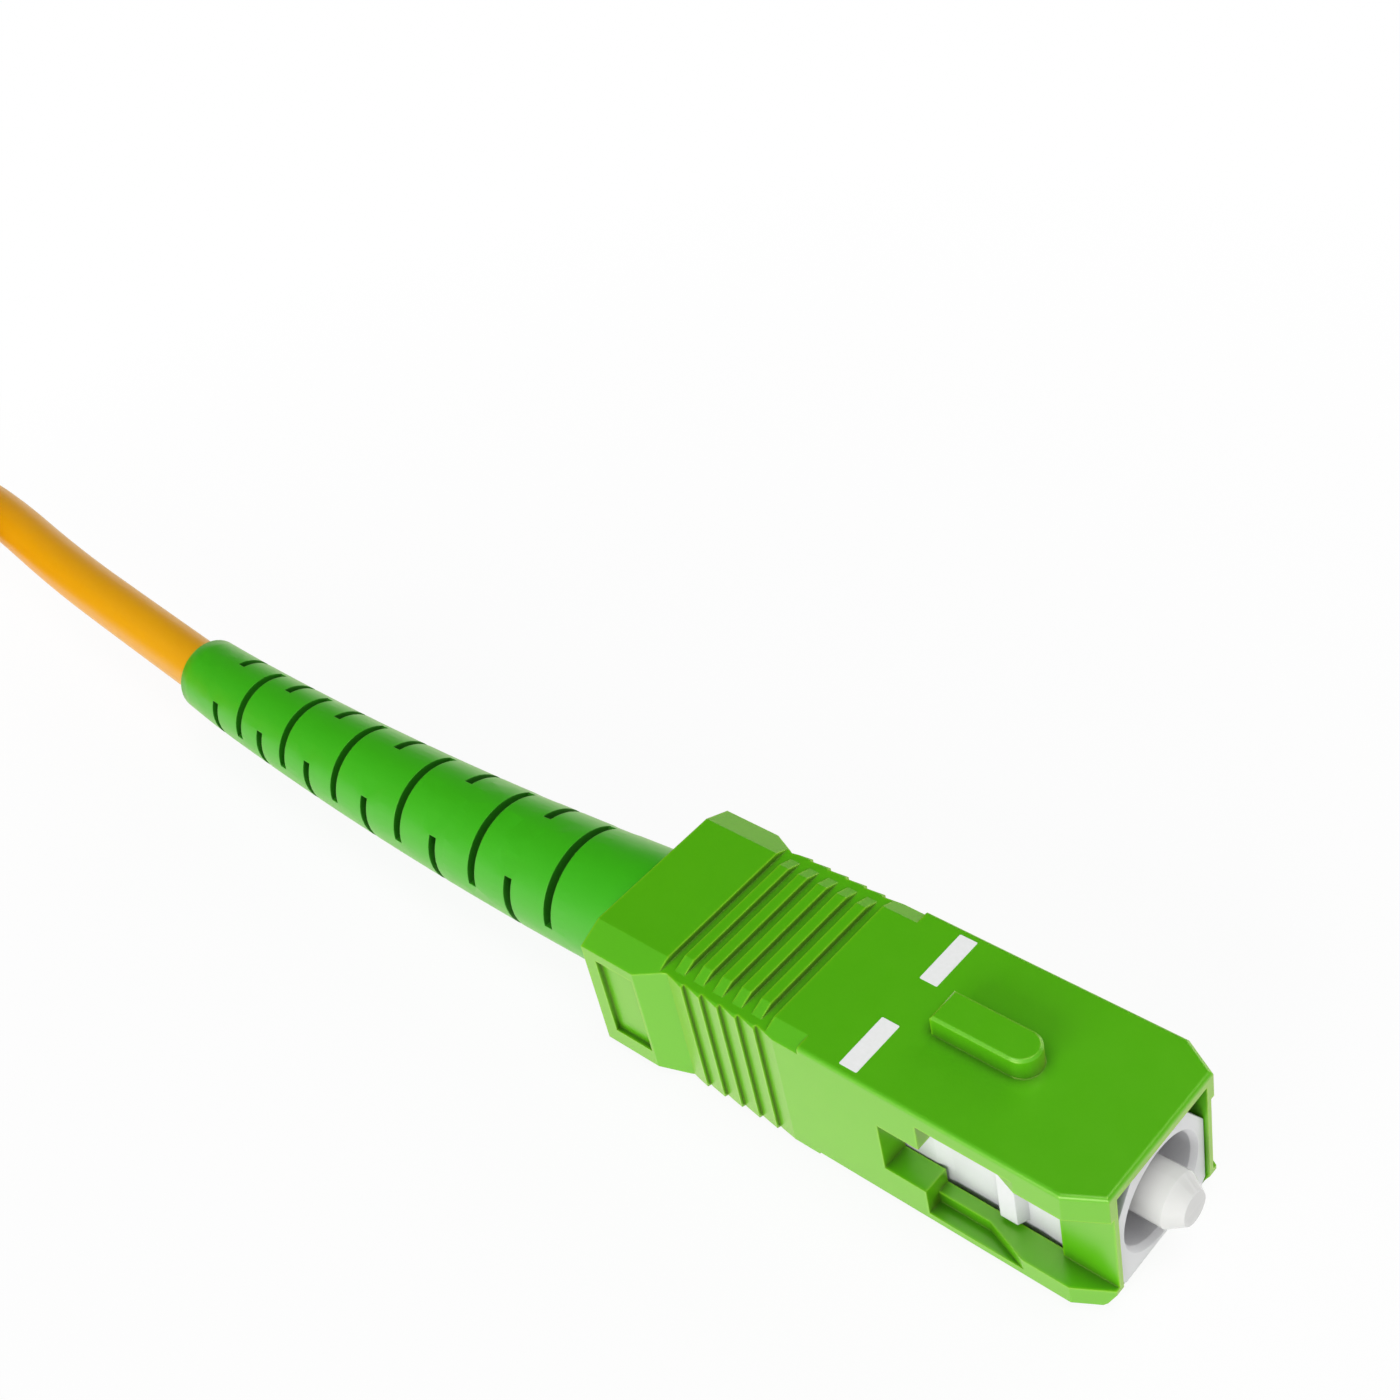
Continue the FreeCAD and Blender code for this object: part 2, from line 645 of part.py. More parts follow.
def boot():
    """Tapered strain relief, slotted so that it bends, over the crimp and the cable."""
    blank = turned(
        "boot_blank",
        [
            ("boot_front", "crimp_radius + 0.04"),
            ("boot_front", "boot_collar"),
            ("boot_shoulder + 0.6", "boot_collar"),
            ("boot_shoulder + 0.6", "boot_front_radius"),
            ("boot_shoulder - 1.5", "boot_front_radius"),
            ("boot_rear + 0.3", "boot_rear_radius"),
            ("boot_rear", "boot_rear_radius - 0.2"),
            ("boot_rear", "cable_radius + fit_gap"),
            ("eyelet_rear - 0.4", "cable_radius + fit_gap"),
            ("eyelet_rear - 0.4", "eyelet_radius + 0.07"),
            ("crimp_rear - 0.4", "eyelet_radius + 0.07"),
            ("crimp_rear - 0.4", "crimp_radius + 0.04"),
        ],
    )
    slots = []
    place = size("boot_shoulder - slot_first")
    for number, gap in enumerate(SLOT_GAPS, start=1):
        kinds = (("long", place, "slot_long", 90), ("short", place - 0.52 * gap, "slot_short", 180))
        for name, middle, span, side in kinds:
            for half in range(2):
                label = "slot_%s_%d_%d" % (name, number, half)
                turn = side + 180 * half + size("slot_roll")
                rear = "%.3f - slot_width / 2" % middle
                slots.append(sector(label, rear, "slot_width", "boot_front_radius + 1", turn, size(span)))
        place -= gap
    core = rod("slot_core", "boot_rear - 1", "boot_front - boot_rear", "slot_floor")
    grooves = cut("slot_tool", joined("slot_sectors", slots), [core])
    return finish(cut("boot_slotted", blank, [grooves]), "boot")


# The free cable behind the boot, as points of its centreline in the connector's frame.
# It leaves the boot straight, sinks to the surface and runs into the put-away coil.
FLOOR_LINE = size("cable_radius - axis_height")
ROUTE = [
    Vector(size("boot_rear"), 0, 0),
    Vector(-71.0, 0.65, -0.1),
    Vector(-80.5, 2.15, -0.65),
    Vector(-90.5, 3.4, -1.35),
    Vector(-98.5, 3.85, -1.9),
    Vector(size("coil_x"), size("coil_y + coil_outer - cable_radius"), FLOOR_LINE),
]


def rounded_path(points):
    """Straight runs joined by tangent arcs, each as large as its two runs allow."""
    edges = []
    radii = []
    start = points[0]
    for before, corner, after in zip(points, points[1:], points[2:]):
        back = (before - corner).normalize()
        ahead = (after - corner).normalize()
        turn = math.pi - back.getAngle(ahead)
        shorter = min((before - corner).Length, (after - corner).Length)
        reach = 0.45 * shorter
        radius = reach / math.tan(turn / 2)
        first = corner + back * reach
        last = corner + ahead * reach
        bisector = (back + ahead).normalize()
        middle = corner + bisector * (radius / math.cos(turn / 2) - radius)
        edges.append(Part.LineSegment(start, first).toShape())
        edges.append(Part.Arc(first, middle, last).toShape())
        radii.append(radius)
        start = last
    edges.append(Part.LineSegment(start, points[-1]).toShape())
    return Part.Wire(edges), radii


def cable():
    """The plain tube of the free cable, from the boot to the coil."""
    path, radii = rounded_path(ROUTE)
    heading = ROUTE[1] - ROUTE[0]
    circle = Part.Circle(ROUTE[0], heading, size("cable_radius")).toShape()
    solid = path.makePipeShell([Part.Wire(circle)], True, False)
    area = math.pi * size("cable_radius") ** 2
    print("cable radii", [round(r) for r in radii])
    print("cable length %.1f, volume over section and length %.4f" % (
        path.Length, solid.Volume / area / path.Length))
    feature = doc.addObject("Part::Feature", "cable_tube")
    feature.Shape = solid
    return finish(feature, "cable")


def cable_coil():
    """The outer shape of the ten put-away turns, two side by side in five layers."""
    floor = "-axis_height"
    top = "coil_height - axis_height"
    inner = "coil_x + coil_inner"
    outer = "coil_x + coil_outer"
    sketch = outline("coil_section", "XZ", [(inner, floor), (outer, floor), (outer, top), (inner, top)])
    bind(sketch, Placement__Base__y="coil_y")
    ring = doc.addObject("Part::Revolution", "coil_ring")
    ring.Source = sketch
    ring.Axis = Vector(0, 0, 1)
    bind(ring, Base__x="coil_x", Base__y="coil_y")
    ring.Angle = 360
    ring.Solid = True
    return finish(ring, "cable_coil")


def cable_end():
    """The bare end on top of the coil: jacket, then yarn, then the tight buffer."""
    height = size("coil_height + cable_radius - axis_height")
    start = Vector(size("coil_x"), size("coil_y - (coil_inner + coil_outer) / 2"), height)
    along = Vector(1, 0, 0)
    hole = "buffer_radius + fit_gap"
    pieces = (
        ("cable_tail", "tail_start", "tail_cut", hole, "cable_radius"),
        ("yarn_end", "tail_cut", "yarn_cut", hole, "yarn_end_radius"),
        ("buffer_end", "tail_start + 0.5", "buffer_cut", "", "buffer_radius"),
    )
    for name, first, last, inner, outer in pieces:
        length = size("%s - (%s)" % (last, first))
        rear = start + along * size(first)
        solid = Part.makeCylinder(size(outer), length, rear, along)
        if inner:
            solid = solid.cut(Part.makeCylinder(size(inner), length, rear, along))
        feature = doc.addObject("Part::Feature", name + "_piece")
        feature.Shape = solid
        finish(feature, name)


def sleeves():
    """The plain tubes and the buffer on the ferrule's axis."""
    tail = "yarn_radius - yarn_layer"
    hole = "buffer_radius + fit_gap"
    tubes = (
        ("guide_tube", "guide_rear", "ferrule_tip - ferrule_length", "buffer_radius + 0.05", "0.8"),
        ("aramid_yarn", "yarn_rear", "crimp_front", tail, "yarn_radius"),
        ("crimp_sleeve", "crimp_rear", "crimp_front", "yarn_radius", "crimp_radius"),
        ("crimp_eyelet", "eyelet_rear", "eyelet_front", "cable_radius", "eyelet_radius"),
        ("cable_jacket", "boot_rear", "eyelet_front + 0.2", hole, "cable_radius"),
        ("tight_buffer", "buffer_rear", "buffer_front", "0", "buffer_radius"),
    )
    for name, rear, front, inner, outer in tubes:
        finish(sleeve(name + "_tube", rear, front, inner, outer), name)


outer_housing()
plug_frame()
ferrule()
ferrule_flange()
spring()
rear_body()
sleeves()
boot()
cable()
cable_coil()
cable_end()
doc.recompute()

os.makedirs("parts", exist_ok=True)
faulty = [thing.Name for thing in doc.Objects if {"Invalid", "Error"} & set(thing.State)]
if faulty:
    raise RuntimeError("these objects failed: " + ", ".join(faulty))
for thing in FINISHED:
    shape = thing.Shape
    if shape.isNull() or not shape.isValid() or shape.Volume <= 0:
        raise RuntimeError(thing.Label + " has no valid shape")
    shape.exportStep("parts/%s.step" % thing.Label)
    bounds = shape.BoundBox
    print("%-16s %9.2f mm3 %d solid  x %.2f %.2f  y %.2f %.2f  z %.2f %.2f" % (
        thing.Label, shape.Volume, len(shape.Solids), bounds.XMin, bounds.XMax,
        bounds.YMin, bounds.YMax, bounds.ZMin, bounds.ZMax))
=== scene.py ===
import bmesh
import bpy
import json
import math
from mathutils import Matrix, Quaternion, Vector

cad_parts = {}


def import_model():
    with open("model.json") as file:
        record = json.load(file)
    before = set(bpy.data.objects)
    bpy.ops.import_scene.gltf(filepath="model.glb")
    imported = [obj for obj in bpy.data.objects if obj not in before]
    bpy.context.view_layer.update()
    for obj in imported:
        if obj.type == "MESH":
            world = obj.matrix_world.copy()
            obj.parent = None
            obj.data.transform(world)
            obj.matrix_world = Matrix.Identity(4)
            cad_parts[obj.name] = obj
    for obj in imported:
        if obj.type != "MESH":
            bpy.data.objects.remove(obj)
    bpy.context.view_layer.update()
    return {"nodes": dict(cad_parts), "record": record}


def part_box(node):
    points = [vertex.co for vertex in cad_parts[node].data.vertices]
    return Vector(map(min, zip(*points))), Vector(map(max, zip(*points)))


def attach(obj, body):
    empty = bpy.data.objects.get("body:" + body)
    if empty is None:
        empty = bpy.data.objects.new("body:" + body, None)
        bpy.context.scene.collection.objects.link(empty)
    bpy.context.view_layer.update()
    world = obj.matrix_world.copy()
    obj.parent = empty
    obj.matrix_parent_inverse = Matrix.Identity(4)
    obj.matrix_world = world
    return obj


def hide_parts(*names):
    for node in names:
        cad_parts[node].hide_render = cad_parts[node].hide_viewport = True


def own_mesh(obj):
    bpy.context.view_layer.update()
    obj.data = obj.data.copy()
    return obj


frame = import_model()
nodes = frame["nodes"]

# Millimetres in the connector's own frame: x = 0 at the housing's front face, y and z from
# the ferrule's axis.  The CAD frame gives where that is.
MM = 0.001
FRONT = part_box("outer_housing")[1][0]
AXIS = (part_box("ferrule")[0][2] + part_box("ferrule")[1][2]) / 2


def at(x, y, z):
    """A point of the connector's frame, in millimetres, as a point of the CAD frame in metres."""
    return Vector((FRONT + x * MM, y * MM, AXIS + z * MM))


def new_object(name, data, *materials):
    """An object in the scene, made of this mesh, curve or lamp."""
    thing = bpy.data.objects.new(name, data)
    bpy.context.collection.objects.link(thing)
    for material in materials:
        data.materials.append(material)
    return thing


# ---------------------------------------------------------------- material nodes


def new_material(name, color, roughness, **sockets):
    """A Principled material, its tree and its shader; sockets gives plain values by name."""
    material = bpy.data.materials.new(name)
    material.use_nodes = True
    tree = material.node_tree
    shader = tree.nodes["Principled BSDF"]
    shader.inputs["Base Color"].default_value = (*color, 1)
    shader.inputs["Roughness"].default_value = roughness
    for socket, value in sockets.items():
        shader.inputs[socket.replace("_", " ")].default_value = value
    return material, tree, shader


def add(tree, kind, **values):
    """A node of that kind; values set its inputs by name, or its own settings."""
    node = tree.nodes.new("ShaderNode" + kind)
    for key, value in values.items():
        socket = node.inputs.get(key.replace("_", " "))
        if socket is not None:
            socket.default_value = value
        else:
            setattr(node, key, value)
    return node


def larger(tree, first, second):
    """The larger of two values."""
    node = add(tree, "Math", operation="MAXIMUM")
    tree.links.new(first, node.inputs[0])
    tree.links.new(second, node.inputs[1])
    return node.outputs["Value"]


def ramp(tree, value, start, end, low, high):
    """A value that runs from low, where the given one is at start, to high at end."""
    node = add(tree, "MapRange", From_Min=start, From_Max=end, To_Min=low, To_Max=high)
    tree.links.new(value, node.inputs["Value"])
    return node.outputs["Result"]


def grain_space(tree, stretch=(1, 1, 1)):
    """Object coordinates in millimetres, stretched for grain that runs one way."""
    coordinates = add(tree, "TexCoord")
    mapping = add(tree, "Mapping", Scale=[s / MM for s in stretch])
    tree.links.new(coordinates.outputs["Object"], mapping.inputs["Vector"])
    return mapping.outputs["Vector"]


def noise(tree, where, scale, detail=3.0):
    """A 0 to 1 value that drifts from place to place."""
    grain = add(tree, "TexNoise", Scale=scale, Detail=detail)
    tree.links.new(where, grain.inputs["Vector"])
    return grain.outputs["Fac"]


def tint(tree, shader, value, dark, light):
    """Base colour between two tints, led by a value."""
    mix = add(tree, "Mix", data_type="RGBA")
    mix.inputs["A"].default_value = (*dark, 1)
    mix.inputs["B"].default_value = (*light, 1)
    tree.links.new(value, mix.inputs["Factor"])
    tree.links.new(mix.outputs["Result"], shader.inputs["Base Color"])


def rough(tree, shader, value, low, high):
    """Roughness between low and high, led by a value."""
    tree.links.new(ramp(tree, value, 0.0, 1.0, low, high), shader.inputs["Roughness"])


def relief(tree, shader, value, depth, edge=0.0):
    """Bump of that depth in millimetres, over edges rounded to a radius in millimetres."""
    bump = add(tree, "Bump", Strength=1.0, Distance=depth * MM)
    tree.links.new(value, bump.inputs["Height"])
    if edge:
        rounding = add(tree, "Bevel", samples=6, Radius=edge * MM)
        tree.links.new(rounding.outputs["Normal"], bump.inputs["Normal"])
    tree.links.new(bump.outputs["Normal"], shader.inputs["Normal"])


# Painted shade in grooves and a painted highlight along outer edges, led by how open a surface
# is: how far it is tested, in millimetres, the openness at which the tint starts, and the one at
# which it is full.
GROOVE_SHADE_REACH = (1.7, 0.85, 0.4)
EDGE_HIGHLIGHT_REACH = (0.16, 0.9, 0.5)


def paint_shade_or_highlight(tree, shader, color, reach, start, full, inside=False, alone=True):
    """Painted shade: another tint down in grooves and recesses or, with inside, a painted
    highlight along outer edges.

    A piece that isn't taken alone also gets painted shade from its neighbours.
    """
    # Painted shade or painted highlight: the base colour goes towards the tint by how closed in
    # the surface is.
    hidden = add(
        tree, "AmbientOcclusion", samples=8, inside=inside, only_local=alone, Distance=reach * MM
    )
    share = ramp(tree, hidden.outputs["AO"], start, full, 0.0, 1.0)
    base = shader.inputs["Base Color"].links[0].from_socket
    mix = add(tree, "Mix", data_type="RGBA")
    mix.inputs["B"].default_value = (*color, 1)
    tree.links.new(share, mix.inputs["Factor"])
    tree.links.new(base, mix.inputs["A"])
    tree.links.new(mix.outputs["Result"], shader.inputs["Base Color"])


def soft_light(weight, *reach):
    """Subsurface sockets: the share of light that spreads inside, and how far it does in mm."""
    return {
        "Subsurface_Weight": weight,
        "Subsurface_Radius": [distance * MM for distance in reach],
        "Subsurface_Scale": 1.0,
    }


# ---------------------------------------------------------------- materials


def moulded(name, dark, light, smooth, dull, edge, pale=None, groove_shade=None, alone=True, **sockets):
    """Moulded plastic: slight colour drift, uneven gloss, fine texture and soft edges, and, where
    given, painted shade in grooves and a painted highlight along outer edges.
    """
    material, tree, shader = new_material(name, light, smooth, **sockets)
    where = grain_space(tree)
    tint(tree, shader, noise(tree, where, 0.16, 2.0), dark, light)
    # Painted shade: a darker tint down in grooves, slots and recesses.
    if groove_shade:
        paint_shade_or_highlight(tree, shader, groove_shade, *GROOVE_SHADE_REACH, alone=alone)
    # Painted highlight: a paler tint along outer edges.
    if pale:
        paint_shade_or_highlight(tree, shader, pale, *EDGE_HIGHLIGHT_REACH, inside=True)
    rough(tree, shader, noise(tree, where, 0.9), smooth, dull)
    relief(tree, shader, noise(tree, where, 14.0, 4.0), 0.0035, edge)
    return material


def housing_green():
    return moulded(
        "housing_green", (0.07, 0.44, 0.0), (0.082, 0.48, 0.001), 0.28, 0.38, 0.09,
        # Painted highlight tint along the outer edges, and painted shade tint in grooves and
        # recesses.
        pale=(0.17, 0.58, 0.01), groove_shade=(0.008, 0.13, 0.0), IOR=1.85,
        Coat_Weight=0.8, Coat_Roughness=0.25, Coat_Tint=(1.0, 1.0, 0.2, 1),
        Sheen_Weight=0.1, Sheen_Roughness=0.5, Sheen_Tint=(1.0, 0.9, 0.1, 1),
        **soft_light(0.12, 0.5, 0.4, 0.1),
    )


def boot_green():
    return moulded(
        "boot_green", (0.028, 0.4, 0.0), (0.036, 0.44, 0.001), 0.36, 0.48, 0.07,
        # Painted shade tint down in the slots and grooves.
        groove_shade=(0.006, 0.15, 0.0),
        Coat_Weight=0.5, Coat_Roughness=0.3, Coat_Tint=(1.0, 1.0, 0.3, 1),
        Sheen_Weight=0.12, Sheen_Roughness=0.4, Sheen_Tint=(0.8, 1.0, 0.5, 1),
        **soft_light(0.1, 0.4, 0.5, 0.1),
    )


def frame_white():
    return moulded(
        "frame_white", (0.78, 0.78, 0.79), (0.82, 0.82, 0.83), 0.28, 0.38, 0.06,
        # Painted shade tint, also where the housing round the frame closes it in.
        groove_shade=(0.52, 0.51, 0.55), alone=False, **soft_light(0.15, 0.6, 0.6, 0.6),
    )


def buffer_white():
    return moulded("buffer_white", (0.8, 0.8, 0.78), (0.86, 0.86, 0.84), 0.35, 0.45, 0.0)


def zirconia():
    """Polished ceramic, with fine lines round it from grinding."""
    material, tree, shader = new_material(
        "zirconia", (0.7, 0.7, 0.69), 0.12, **soft_light(0.35, 0.8, 0.8, 0.8)
    )
    where = grain_space(tree)
    tint(tree, shader, noise(tree, where, 0.6, 2.0), (0.68, 0.68, 0.665), (0.72, 0.715, 0.7))
    rough(tree, shader, noise(tree, where, 3.0), 0.08, 0.18)
    relief(tree, shader, noise(tree, grain_space(tree, (0.2, 2, 2)), 20.0), 0.0006, 0.03)
    return material


def plated(name, color, smooth, dull, stretch):
    """Turned and plated metal, with fine marks round or along the piece."""
    material, tree, shader = new_material(name, color, smooth, Metallic=1.0)
    where = grain_space(tree, stretch)
    darker = tuple(0.85 * c for c in color)
    tint(tree, shader, noise(tree, where, 1.2), darker, color)
    rough(tree, shader, noise(tree, where, 4.0), smooth, dull)
    relief(tree, shader, noise(tree, where, 12.0), 0.002, 0.05)
    return material


def guide_clear():
    """Translucent tube, with faint marks along its length."""
    material, tree, shader = new_material(
        "guide_clear", (0.86, 0.88, 0.88), 0.3, Transmission_Weight=0.4, IOR=1.38
    )
    where = grain_space(tree, (0.3, 1, 1))
    rough(tree, shader, noise(tree, where, 3.0), 0.25, 0.4)
    relief(tree, shader, noise(tree, where, 9.0), 0.002)
    return material


def aramid():
    """Yarn, with fibres that run along it."""
    material, tree, shader = new_material("aramid", (0.72, 0.55, 0.16), 0.6, Sheen_Weight=0.3)
    fibres = noise(tree, grain_space(tree, (0.15, 3, 3)), 9.0, 5.0)
    tint(tree, shader, fibres, (0.52, 0.36, 0.08), (0.8, 0.64, 0.22))
    rough(tree, shader, fibres, 0.5, 0.7)
    relief(tree, shader, fibres, 0.03)
    return material


def jacket_yellow():
    """Extruded cable jacket: satin, with a slight waviness."""
    material, tree, shader = new_material(
        "jacket_yellow", (0.76, 0.355, 0.0), 0.36, **soft_light(0.1, 0.8, 0.5, 0.1)
    )
    where = grain_space(tree)
    tint(tree, shader, noise(tree, where, 0.1, 2.0), (0.72, 0.335, 0.0), (0.79, 0.375, 0.0))
    rough(tree, shader, noise(tree, where, 1.1), 0.32, 0.44)
    relief(tree, shader, noise(tree, where, 2.2, 5.0), 0.012)
    return material


def mark_white():
    """Printed marks: matt ink, a little thin in places."""
    material, tree, shader = new_material("mark_white", (0.85, 0.85, 0.86), 0.55)
    speckle = noise(tree, grain_space(tree), 5.0, 6.0)
    tint(tree, shader, speckle, (0.82, 0.84, 0.82), (0.92, 0.92, 0.93))
    rough(tree, shader, speckle, 0.45, 0.6)
    relief(tree, shader, speckle, 0.004)
    return material


# By the material slots of the record.
MATERIALS = {
    "housing_green": housing_green(),
    "boot_green": boot_green(),
    "frame_white": frame_white(),
    "zirconia": zirconia(),
    "plated_metal": plated("plated_metal", (0.72, 0.7, 0.66), 0.14, 0.26, (0.2, 1, 1)),
    "crimp_metal": plated("crimp_metal", (0.66, 0.64, 0.6), 0.22, 0.38, (1, 0.3, 0.3)),
    "spring_steel": plated("spring_steel", (0.6, 0.6, 0.61), 0.18, 0.3, (1, 1, 1)),
    "guide_clear": guide_clear(),
    "aramid": aramid(),
    "jacket_yellow": jacket_yellow(),
    "buffer_white": buffer_white(),
}
for part in frame["record"]["subparts"]:
    for surface in nodes[part["node"]].material_slots:
        surface.material = MATERIALS[part["material_slot"]]

# ---------------------------------------------------------------- camera

# Where the photo was taken from, worked out from the housing's corners.
EYE = at(27.92, -40.12, 68.37)
LOOK = Vector((-0.59462, 0.49143, -0.63633))
ROLL = math.radians(-13.38)
LENS = 52.96

camera = new_object("camera", bpy.data.cameras.new("camera"))
bpy.context.scene.camera = camera
camera.location = EYE
camera.rotation_mode = "QUATERNION"
camera.rotation_quaternion = LOOK.to_track_quat("-Z", "Y") @ Quaternion((0, 0, 1), ROLL)
camera.data.sensor_width = 36.0
camera.data.lens = LENS
camera.data.clip_start = 0.005
camera.data.clip_end = 5.0

# ---------------------------------------------------------------- bend of the boot

# The solid boot is straight; the real one bows a little between the housing and the cable,
# and its plain end, behind the last slots, is a little shorter.
BOW = 0.56
BOW_FRONT, BOW_REAR = -26.5, -63.5
BOW_ANGLE = math.radians(30)
BOW_WAY = Vector((0, -math.cos(BOW_ANGLE), -math.sin(BOW_ANGLE)))
TRIM_FROM, TRIM = -59.5, 0.9
SLICES = 30
SHARP = math.radians(35)
# How near two corners are when they are one, and how near a corner is to a cut to lie on it.
WELD, ON_CUT = 0.001, 0.002

# ---------------------------------------------------------------- cable

CABLE = 3.0
ROUTE = [
    (BOW_REAR + TRIM, 0, 0),
    (-71.0, 0.8, -0.05),
    (-80.5, 1.85, -0.3),
    (-90.5, 3.45, -0.4),
    (-98.5, 3.86, -0.5),
]
FLOOR = -AXIS / MM

# The put-away coil: its middle, and its radius to the line between its two columns of turns.
COIL_X, COIL_Y = -105.5, -13.0
COIL_RADIUS = 15.0
LAYERS = 5
POINTS_PER_TURN = 16
# The share of a turn after which it moves over to the next column or layer.
SHIFT_FROM = 0.84

# The cable's end climbs on to the coil: degrees round it, radius, and share of the climb.
CLIMB = ((90, 13.8, 0.05), (114, 14.2, 0.35), (138, 14.8, 0.8), (162, 15.2, 1))
ON_TOP = (186, 210, 234, 257)
ON_TOP_RADIUS = 15.3
# Where its last straight length runs, in x from the coil's middle.
LAST_FROM, LAST_TO = 0.5, 6.5


def on_coil(degrees, radius, z):
    """A point round the coil's middle."""
    angle = math.radians(degrees)
    return COIL_X + radius * math.cos(angle), COIL_Y + radius * math.sin(angle), z


def ease(x):
    """A smooth step from 0 to 1."""
    x = min(max(x, 0.0), 1.0)
    return x * x * (3 - 2 * x)


def coil_points():
    """Ten turns, an outer and an inner one in each of five layers, wound in and out in turn."""
    # Control points of a circle stand outside it by this much.
    outside = 1 / math.cos(math.pi / POINTS_PER_TURN)
    turns = []
    for layer in range(LAYERS):
        order = (0.5, -0.5) if layer % 2 == 0 else (-0.5, 0.5)
        turns += [(column, layer) for column in order]
    turns.append(turns[-1])
    points = []
    for step in range(1, 2 * LAYERS * POINTS_PER_TURN):
        turn, part = divmod(step / POINTS_PER_TURN, 1)
        (column, layer), (next_column, next_layer) = turns[int(turn)], turns[int(turn) + 1]
        shift = ease((part - SHIFT_FROM) / (1 - SHIFT_FROM))
        across = column + (next_column - column) * shift
        up = layer + (next_layer - layer) * shift
        radius = (COIL_RADIUS + across * CABLE) * outside
        degrees = 90 + 360 * step / POINTS_PER_TURN
        points.append(on_coil(degrees, radius, FLOOR + CABLE * (up + 0.5)))
    return points


def tail_points():
    """Off the top layer, up on to the coil, and straight to the cut end."""
    top = FLOOR + CABLE * (LAYERS + 0.5)
    points = []
    for degrees, radius, share in CLIMB:
        points.append(on_coil(degrees, radius, top - CABLE * (1 - share)))
    points += [on_coil(degrees, ON_TOP_RADIUS, top) for degrees in ON_TOP]
    points += [(COIL_X + x, COIL_Y - COIL_RADIUS, top) for x in (LAST_FROM, LAST_TO)]
    return points


def new_curve(name, radius, roundness):
    """A curve with that radius of cord round it, in millimetres, and no lines yet."""
    curve = bpy.data.curves.new(name, "CURVE")
    curve.dimensions = "3D"
    curve.bevel_depth = radius * MM
    curve.bevel_resolution = roundness
    curve.use_fill_caps = True
    return curve


def add_line(curve, points, resolution):
    """One smooth line along these points, in metres, that reaches the first and the last."""
    spline = curve.splines.new("NURBS")
    spline.points.add(len(points) - 1)
    for control, point in zip(spline.points, points):
        control.co = (*point, 1)
    spline.order_u = 3
    spline.use_endpoint_u = True
    spline.resolution_u = resolution


def cable_cord():
    """The free cable from the boot's end, the coil, and the cable's cut end, in one length."""
    first_turn = (COIL_X, COIL_Y + COIL_RADIUS + CABLE / 2, FLOOR + CABLE / 2)
    route = ROUTE + [first_turn] + coil_points() + tail_points()
    curve = new_curve("cable_visual", CABLE / 2, 6)
    add_line(curve, [at(*point) for point in route], 6)
    cable = new_object("cable_visual", curve, MATERIALS["jacket_yellow"])
    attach(cable, "plug")
    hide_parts("cable", "cable_coil", "cable_tail")


# Strands of yarn, in millimetres: their radius, how far from the buffer's axis the outer and
# the inner ones start, how far they splay, and how far inside the jacket they start.
STRANDS = 46
STRAND = 0.1
RINGS = (0.8, 0.6)
SPLAY = 0.12
ROOT = 0.3
# The shortest strand, as a share of the longest.
SHORTEST = 0.82
# How far a strand sways round the buffer, and how that differs by strand and along one.
SWAY, SWAY_BY_STRAND, SWAY_ALONG = 0.35, 1.7, 2.5
# The golden ratio spreads the strands' lengths and places evenly.
GOLDEN = 0.618
GOLDEN_ANGLE = math.pi * (3 - math.sqrt(5))
STRAND_STEPS = 4


def yarn_strands():
    """The yarn at the cable's cut end: thin strands round the buffer, a little splayed."""
    low, high = (Vector(corner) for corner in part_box("yarn_end"))
    middle = (low + high) / 2
    curve = new_curve("yarn_strands", STRAND, 1)
    for strand in range(STRANDS):
        length = (high.x - low.x) * (SHORTEST + (1 - SHORTEST) * (strand * GOLDEN % 1))
        points = []
        for step in range(STRAND_STEPS + 1):
            share = step / STRAND_STEPS
            reach = (RINGS[strand % 2] + SPLAY * share**2) * MM
            sway = SWAY * math.sin(SWAY_BY_STRAND * strand + SWAY_ALONG * share)
            angle = GOLDEN_ANGLE * strand + sway
            x = low.x + length * share - ROOT * MM * (1 - share)
            y = middle.y + reach * math.cos(angle)
            z = middle.z + reach * math.sin(angle)
            points.append((x, y, z))
        add_line(curve, points, 4)
    yarn = new_object("yarn_strands", curve, MATERIALS["aramid"])
    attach(yarn, "plug")
    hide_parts("yarn_end")


yarn_strands()
cable_cord()

# ---------------------------------------------------------------- boot and what is in it


def bow(x):
    """How far the line of the boot has moved aside at x, as a vector in millimetres."""
    share = min(max((x - BOW_FRONT) / (BOW_REAR - BOW_FRONT), 0.0), 1.0)
    return 4 * BOW * share * (1 - share) * BOW_WAY


